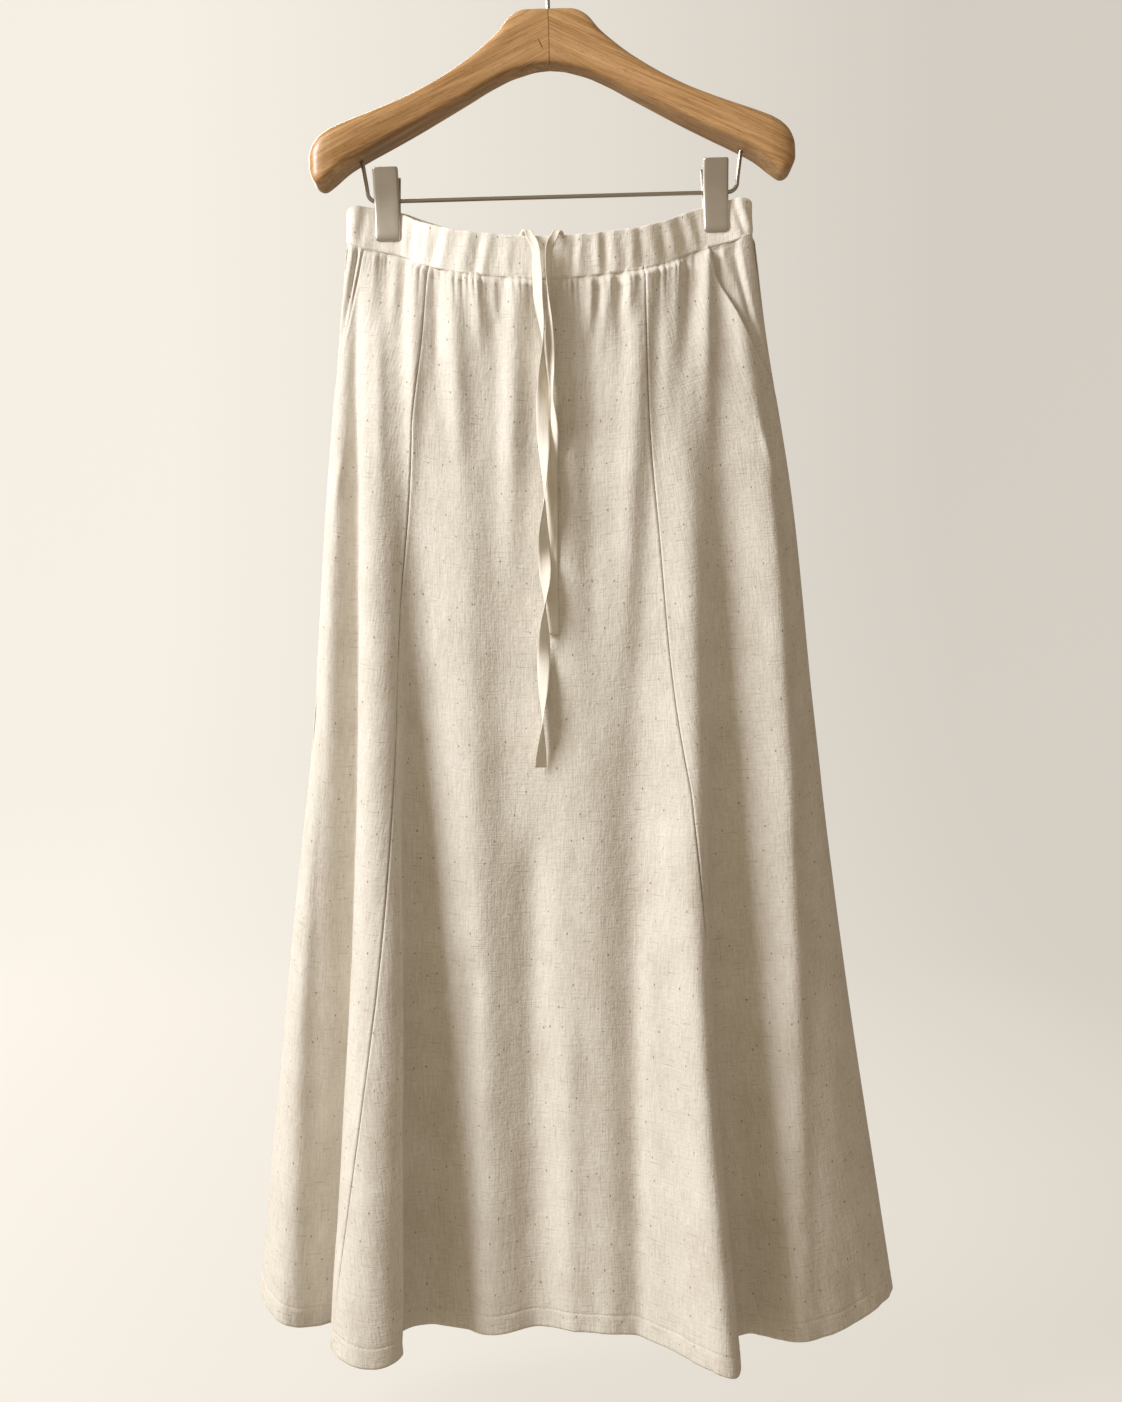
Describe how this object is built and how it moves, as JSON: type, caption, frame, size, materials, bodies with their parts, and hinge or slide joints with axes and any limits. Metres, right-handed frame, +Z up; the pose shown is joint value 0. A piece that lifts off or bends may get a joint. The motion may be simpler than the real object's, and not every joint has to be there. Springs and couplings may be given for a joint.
{
  "type": "maxi skirt on clip hanger",
  "caption": "Long A-line skirt with a puckered waistband, slant pockets and a drawstring, clipped to a wooden hanger with a steel bar and hook.",
  "frame": {"origin": "the seat of the hanger's hook: the highest point of its inside, where a rail carries it", "axes": "+Z up, the skirt's front looks along -Y, +X to the right as seen from the front"},
  "size_m": [0.579, 0.21, 1.2806],
  "materials": {
    "linen": "oatmeal linen-cotton, plain weave with slubs and dark flecks",
    "waistband": "the same linen-cotton, folded double and puckered",
    "tape": "ivory cotton tape, smooth twill with a soft sheen",
    "wood": "light oak under satin lacquer",
    "hook_steel": "nickel-plated wire",
    "clip_steel": "brushed nickel-plated sheet"
  },
  "bodies": {
    "root": {"front_centre_panel": "linen", "front_side_panel_left": "linen", "front_side_panel_right": "linen", "back_panel": "linen", "pocket_facing_left": "linen", "pocket_facing_right": "linen", "waistband_front": "waistband", "waistband_back": "waistband", "drawstring_long": "tape", "drawstring_short": "tape", "hanger_wood": "wood", "hanger_hook": "hook_steel", "clip_bar": "hook_steel", "clip_left_front": "clip_steel", "clip_left_back": "clip_steel", "clip_left_spring": "clip_steel", "clip_right_front": "clip_steel", "clip_right_back": "clip_steel", "clip_right_spring": "clip_steel"}
  },
  "joints": []
}
